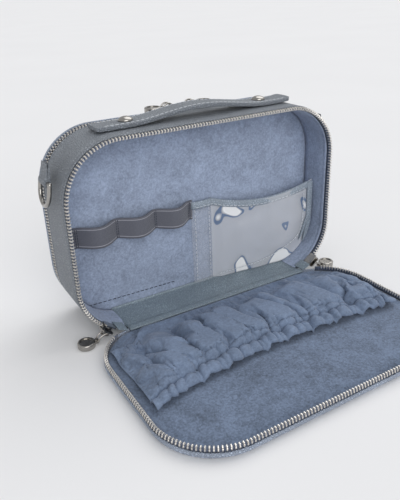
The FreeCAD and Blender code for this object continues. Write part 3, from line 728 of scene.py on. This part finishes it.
def make_studs():
    """Mushroom studs of the handle: domed heads on short posts."""
    bm = bmesh.new()
    for x in (-55.0, 55.0):
        base = handle_base(x) + 3.6
        head = [(0.0, 3.1), (1.8, 3.0), (3.4, 2.5), (4.6, 1.7), (5.2, 0.9), (5.25, 0.45), (5.0, 0.1),
                (4.2, 0.0), (1.9, -0.1)]
        post = [(1.8, 141.6), (2.6, 141.2), (0.0, 141.2)]
        turned(bm, [(r, base + rise) for r, rise in head] + post, (x, 0, 0))
    outward(bm)
    sharpen(finish_piece("handle_stud_caps", bm, "metal", "case", ("handle_studs",)))


class CASE_OT_metal(bpy.types.Operator):
    """Studs of the handle, and nickel finish on sliders, links, pulls, rings and stops"""
    bl_idname = "jewelry_case.metal"
    bl_label = "Metal fittings"

    def execute(self, context):
        make_studs()
        for name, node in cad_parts.items():
            if name.endswith(("_slider", "_link", "_disc", "_stops")) or name.startswith("d_ring"):
                dress(node, "metal")
        return {"FINISHED"}


def dress(node, material):
    """Give a carried-over part its finish."""
    node.data.materials.clear()
    node.data.materials.append(MATERIALS[material])


# ---- handle and side tabs ----
def handle_base(x):
    """Underside of the strap."""
    return 143.1 + (5.4 * math.cos(math.pi * x / 116) ** 2 if abs(x) < 58 else 0.0)


def make_handle():
    """Edge-stitched strap with pointed-off corners, a slit beside each stud drawn as a thin dark block of
    painted shade, and the end at +x curling up a little.
    """
    bm = grid(96, 14)
    for v in bm.verts:
        x, across = v.co.x * 79.0, v.co.y
        half = min(9.0, 7.4 + max(0.0, 79.0 - abs(x)))
        v.co = (x, across * half, handle_top(x, across * half))
    thicken(bm, 2.9)
    outward(bm)
    soften(bm, [e for e in bm.edges if e.calc_face_angle(0) > 0.9], 0.5)
    ripple(bm, 0.12, 14.0, 9.0)
    finish_piece("handle_strap_leather", bm, "band", "case", ("handle_strap",))
    for side in (-1, 1):
        y = 7.3 * side
        path = [Vector((x, y, handle_top(x, y) + 0.05)) for x in range(-74, 75, 2)]
        name = "handle_stitches_front" if side < 0 else "handle_stitches_back"
        stitches(name, path, "pale_thread", 2.6, 1.1, 0.5, (0, 0, 1))
    # each slit is a thin dark block just proud of the strap top: painted shade inside the cut
    slit_shade = bmesh.new()
    for side in (-1, 1):
        x0, x1 = sorted((55 * side, 66 * side))
        top = handle_top(60 * side, 0)
        block(slit_shade, (x0, -0.45, top - 0.9), (x1, 0.45, top + 0.04), Matrix(), 0.3)
    finish_piece("handle_slit_shade", slit_shade, "dark_thread", "case")


def handle_top(x, y):
    lift = 0.9 * max(0.0, (x - 66) / 13) ** 2 if x > 66 else 0.0
    crown = 0.35 * (1 - (y / 9.0) ** 2)
    return handle_base(x) + 3.4 + crown + lift


def make_ring_tab(side):
    """Leather tab folded round the ring's bar and stitched to the band."""
    name = "ring_tab_left" if side < 0 else "ring_tab_right"
    profile = [(112.3, 129.0), (112.3, 124.0), (112.35, 119.0), (112.9, 114.6), (114.0, 113.2),
               (115.4, 113.0), (116.8, 113.6), (117.7, 115.0), (117.8, 116.6), (117.2, 118.4),
               (115.8, 120.0), (114.4, 121.4), (113.9, 123.5), (113.8, 129.0)]
    width = 12.6
    bm = bmesh.new()
    verts = [bm.verts.new((x * side, -width / 2, z)) for x, z in profile]
    end = bmesh.ops.contextual_create(bm, geom=verts)["faces"]
    bmesh.ops.delete(bm, geom=end, context="FACES_ONLY")
    run_straight(bm, bm.edges[:], (0, width, 0), 6)
    close_holes(bm)
    soften(bm, [e for e in bm.edges if e.calc_face_angle(0) > 1.2], 0.35)
    finish_piece(name + "_leather", bm, "band", "case", (name,))
    x = 113.85 * side
    path = [Vector((x, y, z)) for y, z in ((-5.0, 123.4), (-5.0, 127.6), (5.0, 127.6), (5.0, 123.4))]
    stitches(name + "_stitches", path, "pale_thread", 1.9, 0.8, 0.45, (side, 0, 0))


class CASE_OT_handle(bpy.types.Operator):
    """Stitched handle strap and the folded tabs of the side rings"""
    bl_idname = "jewelry_case.handle"
    bl_label = "Handle and ring tabs"

    def execute(self, context):
        make_handle()
        for side in (-1, 1):
            make_ring_tab(side)
        return {"FINISHED"}


# ---- inside fittings ----
LOOPS = (-99.0, -68.0, -37.0, -8.0)


def loop_bulge(x):
    for a, b in zip(LOOPS, LOOPS[1:]):
        if a <= x <= b:
            return 9.0 * math.sin(math.pi * (x - a) / (b - a)) ** 1.3
    return 0.0


def make_loops():
    """Elastic webbing sewn down at four places so that it stands out in three loops."""
    x0, x1, low, high = -103.0, -5.0, 62.0, 78.0
    bm = grid(120, 12)
    uv = bm.loops.layers.uv.new("along")
    for f in bm.faces:
        for loop in f.loops:
            spot = loop.vert.co
            loop[uv].uv = ((spot.x + 1) * (x1 - x0) / 2 / (high - low), (spot.y + 1) / 2)
    for v in bm.verts:
        x, z = x0 + (v.co.x + 1) * (x1 - x0) / 2, low + (v.co.y + 1) * (high - low) / 2
        bulge = loop_bulge(x)
        pinch = 0.5 * math.exp(-min(abs(x - s) for s in LOOPS) / 2.0)
        z += (70 - z) / 8 * pinch
        v.co = (x, 3.2 - bulge - 0.25 * noise.noise(Vector((x / 9, z / 9, 3))), z)
    outward(bm)
    face_toward(bm, (0, -1, 0))
    thicken(bm, 1.1)
    finish_piece("elastic_loop_webbing", bm, "elastic", "case", ("elastic_loops",))
    for i, x in enumerate(LOOPS):
        for k, shift in enumerate((-0.7, 0.7)):
            path = [Vector((x + shift, 2.85, z)) for z in (62.6, 77.4)]
            stitches("loop_stitches_%d_%d" % (i, k), path, "dark_thread", 1.5, 0.5, 0.45)


# the clear pocket's line seen from above, as (x, y)
PVC = [(-6.0, 3.4), (-3.0, 2.2), (8.0, 2.2), (12.0, 3.4), (22.0, 0.6), (60.0, -3.6), (92.0, -6.0),
       (107.05, -6.6)]


def pvc_y(x):
    for (xa, ya), (xb, yb) in zip(PVC, PVC[1:]):
        if xa <= x <= xb:
            t = (x - xa) / (xb - xa)
            t = t * t * (3 - 2 * t) if xb < 30 else t
            return ya + (yb - ya) * t
    return PVC[-1][1]


def pvc_top(x):
    t = min(1.0, max(0.0, (x - 12.0) / 95.0))
    return 75.6 - 8.0 * math.sin(math.pi * t) ** 0.9 if x > 12 else 75.6


def wall_low(x):
    """Lowest height at x inside the wall lining."""
    r = CORNER - 2.6
    if x <= ARC_X:
        return FOOT + 2.7
    return ARC_LOW - math.sqrt(max(0.0, r * r - (x - ARC_X) ** 2))


def make_clear_pocket():
    """Clear vinyl pocket, buckled and standing off the divider toward the right wall."""
    bm = grid(90, 56)
    for v in bm.verts:
        t, up = (v.co.x + 1) / 2, (v.co.y + 1) / 2
        x = -6.0 + 113.0 * t
        low = max(5.3, wall_low(x) + 0.2)
        z = low + (pvc_top(x) - low) * up
        buckle = noise.noise(Vector((x / 38, z / 26, 2.0))) * 1.5
        buckle += noise.noise(Vector((x / 15, z / 12, 6.0))) * 0.5
        free = max(0.0, min(1.0, (x - 14) / 20)) * min(1.0, (107.0 - x) / 10)
        v.co = (x, pvc_y(x) + buckle * free - 1.2 * free * up * math.sin(math.pi * t), z)
    outward(bm)
    face_toward(bm, (0, -1, 0))
    thicken(bm, 0.4)
    film = finish_piece("clear_pocket_film", bm, "film", "case", ("pvc_pocket",))
    corner = [(97.0, 66.0), (97.0, 50.0), (96.5, 38.0), (94.0, 30.0), (89.0, 25.0), (80.0, 20.0),
              (66.0, 15.0), (50.0, 11.5), (14.0, 9.0)]
    weld = [Vector((x, pvc_y(x) - 2.6, z)) for x, z in corner]
    stitches("pocket_weld", weld, "pale_thread", 2.2, 0.7, 0.5)
    for i, (x, y) in enumerate(((-3.5, 1.95), (9.5, 2.3))):
        path = [Vector((x, y - 0.15, z)) for z in (6.5, 70.0)]
        stitches("pocket_seam_%d" % i, path, "pale_thread", 2.4, 1.1, 0.45)


def make_binding():
    """Leather binding folded over the pocket's mouth and down its right end, with white stitches."""
    stations = [Vector((x, pvc_y(x) - 0.2, pvc_top(x))) for x in range(-6, 104, 2)]
    bm = bmesh.new()
    half = [(-1.0, -5.2), (-1.15, -4.0), (-1.1, -1.0), (-0.8, 0.3), (0.0, 0.75), (0.8, 0.3), (0.95, -1.0),
            (0.95, -5.2)]
    edges = strip(bm, [stations[0] + Vector((0, a, b)) for a, b in half], closed=True)
    for a, b in zip(stations, stations[1:]):
        edges = run_straight(bm, edges, b - a, 1)
    close_holes(bm)
    down_side = ((101.6, 74.2), (106.9, 74.2), (106.9, 44.0), (106.2, 36.0), (103.4, 27.0), (98.4, 19.4),
                 (94.2, 22.4), (99.0, 29.4), (101.4, 37.4), (101.9, 44.0))
    verts = [bm.verts.new((x, -8.3, z)) for x, z in down_side]
    end = bmesh.ops.contextual_create(bm, geom=verts)["faces"]
    made = bmesh.ops.extrude_face_region(bm, geom=end)["geom"]
    bmesh.ops.translate(bm, vec=(0, 1.9, 0), verts=[g for g in made if isinstance(g, bmesh.types.BMVert)])
    outward(bm)
    soften(bm, [e for e in bm.edges if not e.is_boundary and e.calc_face_angle(0) > 1.2], 0.4)
    finish_piece("pocket_binding_leather", bm, "binding", "case", ("pocket_binding",))
    path = [p + Vector((0, -1.15, -3.9)) for p in stations[1:-1]]
    stitches("binding_stitches", path, "pale_thread", 2.4, 1.1, 0.45)


class CASE_OT_fittings(bpy.types.Operator):
    """Elastic loops and the clear pocket on the divider"""
    bl_idname = "jewelry_case.fittings"
    bl_label = "Loops and clear pocket"

    def execute(self, context):
        make_loops()
        make_clear_pocket()
        make_binding()
        path = [Vector((x, 4.0, 12.0 + 0.02 * abs(x))) for x in range(-98, -18, 4)]
        stitches("divider_stitches", path, "dark_thread", 2.6, 1.3, 0.5)
        return {"FINISHED"}


# ---- gathered pocket ----
def pocket_mouth(x):
    """Distance of the free edge from the hinge side of the lid."""
    u = x / 103.0
    return 79.0 + (13.0 if u < 0 else 6.0) * abs(u) ** 2.0


def gather_points(width, pitch, seed):
    """Uneven places where the gathers pinch, each with its own height and lean."""
    rng = random.Random(seed)
    found = []
    x = -width
    while x < width + pitch:
        found.append((x, rng.uniform(0.5, 1.2), rng.uniform(-1.0, 1.0)))
        x += pitch * rng.uniform(0.55, 1.5)
    return found


def ridge(x, points, lean, power=0.62):
    """Rounded folds with tight creases between them."""
    for (xa, tall, turn), (xb, _, next_turn) in zip(points, points[1:]):
        a, b = xa + turn * lean, xb + next_turn * lean
        if a <= x < b:
            return tall * math.sin(math.pi * (x - a) / (b - a)) ** power
    return 0.0


def ease(value):
    value = max(0.0, min(1.0, value))
    return value * value * (3 - 2 * value)


# long creases: x at the hinge seam, x at the casing, reach from the casing, depth
CREASES = ((-90, -66, 0.75, 3.6), (-60, -47, 0.6, 2.6), (-36, -14, 0.8, 3.8), (-10, 4, 0.55, 2.6),
           (4, 27, 0.85, 4.0), (36, 46, 0.6, 2.8), (46, 70, 0.8, 3.6), (76, 88, 0.6, 2.6))


def pocket_surface(x, w, sets):
    """Point of the gathered pocket at x, w running from the hinge seam to the mouth."""
    folds, broad, ruffles = sets
    mouth = pocket_mouth(x)
    casing = 10.5 / mouth
    body = w / (1 - casing)
    # the hinge seam curves away from the sliders at both ends
    start = 6.6 + 15.0 * ease((abs(x) - 70) / 17)
    at = start + (mouth - start) * w
    side = ease((102.5 - abs(x)) / 11.0)
    if body < 1:
        swell = math.sin(math.pi * 0.60 * body) ** 0.75
        height = 0.4 + 2.7 * swell * (0.25 + 0.75 * side)
        rise = ease(body / 0.4) * ease((1.15 - body) / 0.35)
        height += 8.0 * ridge(x, broad, 16.0 * (1 - body), 0.8) * rise * side
        height += 3.6 * ridge(x, folds, 12.0 * (1 - body)) * ease((body - 0.42) / 0.5) * (0.3 + 0.7 * side)
        height += 0.8 * ridge(x, ruffles, 5.0 * body) * ease((0.28 - body) / 0.2) * ease(body / 0.05)
    else:
        band = (w - (1 - casing)) / casing
        pipe = math.sin(math.pi * min(1.0, 0.05 + band * 0.93)) ** 0.55
        height = 1.8 + 3.2 * pipe * (0.35 + 0.65 * side)
        ruffle = 3.3 * ridge(x, ruffles, 5.0 * (band - 0.45), 0.75)
        height += ruffle * (0.35 + 0.65 * pipe) * (0.4 + 0.6 * side)
        at += 2.2 * (ridge(x, ruffles, 0.0, 0.6) - 0.5) * ease((band - 0.3) / 0.7)
    for at_hinge, at_casing, reach, deep in CREASES:
        along = ease((body - 1 + reach) / 0.3)
        d = x - (at_hinge + (at_casing - at_hinge) * min(body, 1.0))
        height += along * side * (1.5 * math.exp(-((d - 4.5) / 3.4) ** 2) - deep * math.exp(-abs(d) / 1.7))
    height -= 2.4 * math.exp(-((body - 1.0) * mouth / 1.5) ** 2)
    height += 0.45 * noise.noise(Vector((x / 13, at / 13, 8.0)))
    shift = noise.noise(Vector((x / 10, at / 17, 2)))
    return Vector((x + shift, -26.5 - at, 4.95 + max(0.15, min(height, 12.0))))


def drape(made, pins, growth, rounds, reach):
    """Let the cloth of a finished piece grow and buckle between its seams, over the lid lining."""
    scene = bpy.context.scene
    rest = [v.co.copy() for v in made.data.vertices]
    held = made.vertex_groups.new(name="seams")
    for index, weight in pins.items():
        held.add([index], weight, "REPLACE")
    cloth = made.modifiers.new("Cloth", "CLOTH")
    feel = cloth.settings
    feel.quality, feel.mass = 6, 0.15
    feel.tension_stiffness = feel.compression_stiffness = 12
    feel.shear_stiffness, feel.bending_stiffness = 6, 2.5
    feel.shrink_min = -growth
    feel.effector_weights.gravity = 0
    feel.use_pressure = True
    feel.uniform_pressure_force = 0.6
    feel.vertex_group_mass = "seams"
    cloth.collision_settings.use_collision = False
    cloth.point_cache.frame_start, cloth.point_cache.frame_end = 1, rounds
    for f in range(1, rounds + 1):
        scene.frame_set(f)
    bpy.context.view_layer.update()
    shaped = made.evaluated_get(bpy.context.evaluated_depsgraph_get()).data
    moved = [v.co.copy() for v in shaped.vertices]
    made.modifiers.remove(cloth)
    made.vertex_groups.remove(held)
    scene.frame_set(1)
    for v, a, b in zip(made.data.vertices, rest, moved):
        step = b - a
        if step.length > reach:
            step *= reach / step.length
        v.co = a + step
        v.co.z = max(0.0051, min(0.0172, v.co.z))


def make_gathered_pocket():
    """Suede pocket gathered on elastic: folds fan out from the ruffled casing toward the hinge seam."""
    pitch = bpy.context.scene.case_lining.gathers * 1000
    rows = ((108, pitch * 1.25, 5), (112, pitch * 3.1, 14), (108, pitch * 0.86, 23))
    sets = [gather_points(*row) for row in rows]
    bm = grid(300, 72)
    pins = {}
    bm.verts.index_update()
    for v in bm.verts:
        x, w = v.co.x * 102.5, (v.co.y + 1) / 2
        hold = max(1.0 if w < 0.02 or abs(v.co.x) > 0.985 else 0.0, ease((w - 0.80) / 0.07))
        if hold > 0:
            pins[v.index] = hold
        v.co = pocket_surface(x, w, sets)
    bmesh.ops.smooth_vert(bm, verts=bm.verts, factor=0.2, use_axis_x=True, use_axis_y=True, use_axis_z=True)
    made = finish_piece("gathered_pocket", bm, "gathered", "front_lid",
                        ("lid_pocket", "lid_pocket_elastic"))
    drape(made, pins, 0.12, 14, 0.004)
    skin = made.modifiers.new("Cloth thickness", "SOLIDIFY")
    skin.thickness = 0.0007
    skin.offset = -1
    skin.use_even_offset = False


class CASE_OT_lid_pocket(bpy.types.Operator):
    """Gathered suede pocket of the front lid"""
    bl_idname = "jewelry_case.lid_pocket"
    bl_label = "Gathered pocket"

    def execute(self, context):
        make_gathered_pocket()
        return {"FINISHED"}


# ---- hinges ----
def make_hinge_leather(name, node, points, half, thickness, lid, material):
    """Strip that carries over the fold between case and lid."""
    bm = bmesh.new()
    edges = strip(bm, [(-half, y, z) for y, z in points])
    run_straight(bm, edges, (2 * half, 0, 0), 32)
    level = [e for e in bm.edges if abs(e.verts[0].co.x - e.verts[1].co.x) < 1e-4]
    bmesh.ops.subdivide_edges(bm, edges=level, cuts=1)
    outward(bm)
    face_toward(bm, (0, 0, 1))
    ripple(bm, 0.18, 11.0, 4.0)
    thicken(bm, thickness)
    if lid == "back_lid":
        to_back(bm)
    outward(bm)
    made = finish_piece(name, bm, material, None, (node,))
    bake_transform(made)


class CASE_OT_hinges(bpy.types.Operator):
    """Leather hinge strips between the case and its lids"""
    bl_idname = "jewelry_case.hinges"
    bl_label = "Hinges"

    def execute(self, context):
        # points are (y, z) from the case to the lid, in the front's frame
        make_hinge_leather(
            "front_hinge_strip_leather", "front_hinge_strip",
            [(4.2, 6.4), (3.4, 5.2), (1.5, 4.95), (-6, 4.9), (-14, 4.9), (-21, 4.95), (-24.4, 5.2),
             (-25.8, 6.1), (-27.2, 6.5), (-29.8, 6.4), (-32.0, 6.3)],
            79.5, 0.9, "front_lid", "smooth")
        make_hinge_leather(
            "front_hinge_leather_outer", "front_hinge_leather",
            [(-20.6, 1.3), (-22.5, 1.5), (-24.2, 2.2), (-25.4, 3.0), (-26.5, 3.7)],
            70.0, 1.1, "front_lid", "band")
        make_hinge_leather(
            "back_hinge_strip_leather", "back_hinge_strip",
            [(-8.8, 5.4), (-9.6, 4.95), (-14, 4.9), (-21, 4.9), (-26, 4.95), (-28.4, 5.2), (-29.6, 6.4),
             (-29.9, 9.0), (-29.8, 13.6)],
            79.5, 0.9, "back_lid", "smooth")
        make_hinge_leather(
            "back_hinge_leather_outer", "back_hinge_leather",
            [(-20.7, 1.35), (-23.0, 1.3), (-25.5, 1.15), (-28.0, 1.25), (-29.4, 1.35)],
            70.0, 1.0, "back_lid", "lid")
        # small gussets beside the hinge strip, and boards that stay out of sight
        boards = ("band_stiffener", "divider_board", "front_lid_board", "back_lid_board")
        for name in ("front_hinge_patches",) + boards:
            dress(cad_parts[name], "smooth")
        return {"FINISHED"}


# ---- stage ----
FLOOR_HALF = 60.0  # metres


class CASE_OT_stage(bpy.types.Operator):
    """Pale floor, soft light and the camera"""
    bl_idname = "jewelry_case.stage"
    bl_label = "Stage"

    def execute(self, context):
        scene = context.scene
        floor_mesh = grid(1, 1, FLOOR_HALF)
        mesh = bpy.data.meshes.new("floor")
        floor_mesh.to_mesh(mesh)
        floor_mesh.free()
        floor = bpy.data.objects.new("floor", mesh)
        scene.collection.objects.link(floor)
        mesh.materials.append(studio_card())
        world = bpy.data.worlds.new("Soft studio")
        scene.world = world
        world.use_nodes = True
        sky = world.node_tree.nodes["Background"].inputs
        sky["Color"].default_value, sky["Strength"].default_value = linear("FCFDFF"), 0.54
        suns = (("key", (0.7, 0.35, 1.1), 55, 1.15), ("front", (-0.2, -1.0, 0.55), 50, 1.45))
        for name, place, spread, power in suns:
            lamp = bpy.data.lights.new(name, "SUN")
            lamp.angle = math.radians(spread)
            lamp.energy = power
            made = bpy.data.objects.new(name, lamp)
            scene.collection.objects.link(made)
            made.rotation_euler = (-Vector(place)).to_track_quat("-Z", "Y").to_euler()
        camera = bpy.data.cameras.new("camera")
        camera.lens = 40.4
        camera.sensor_width = 36.0
        made = bpy.data.objects.new("camera", camera)
        scene.collection.objects.link(made)
        turn = Matrix(((0.8573, 0.2481, -0.4512), (-0.5135, 0.3483, -0.7842), (-0.0374, 0.9039, 0.4260)))
        made.matrix_world = Matrix.Translation((-0.2040, -0.3522, 0.2270)) @ turn.to_4x4()
        scene.camera = made
        scene.view_settings.view_transform = "Standard"
        return {"FINISHED"}


STEPS = (CASE_OT_band, CASE_OT_linings, CASE_OT_lids, CASE_OT_zips, CASE_OT_metal, CASE_OT_handle,
         CASE_OT_fittings, CASE_OT_lid_pocket, CASE_OT_hinges, CASE_OT_stage)


class CASE_PT_panel(bpy.types.Panel):
    """Lists the pieces of the case and their settings"""
    bl_label = "Travel jewelry case"
    bl_idname = "CASE_PT_panel"
    bl_space_type = "VIEW_3D"
    bl_region_type = "UI"
    bl_category = "Jewelry case"

    def draw(self, context):
        layout = self.layout
        for group, kind in SETTINGS.items():
            for field in kind.__annotations__:
                layout.prop(getattr(context.scene, group), field)
        for step in STEPS:
            layout.operator(step.bl_idname)


SETTINGS = {"case_leather": LeatherSettings, "case_lining": LiningSettings, "case_zip": ZipSettings}
CLASSES = tuple(SETTINGS.values()) + STEPS + (CASE_PT_panel,)


def register():
    for cls in CLASSES:
        bpy.utils.register_class(cls)
    for group, kind in SETTINGS.items():
        setattr(bpy.types.Scene, group, bpy.props.PointerProperty(type=kind))


def unregister():
    for group in SETTINGS:
        delattr(bpy.types.Scene, group)
    for cls in reversed(CLASSES):
        bpy.utils.unregister_class(cls)


def main():
    register()
    build_materials()
    for step in STEPS:
        group, action = step.bl_idname.split(".")
        getattr(getattr(bpy.ops, group), action)()


if __name__ == "__main__":
    main()
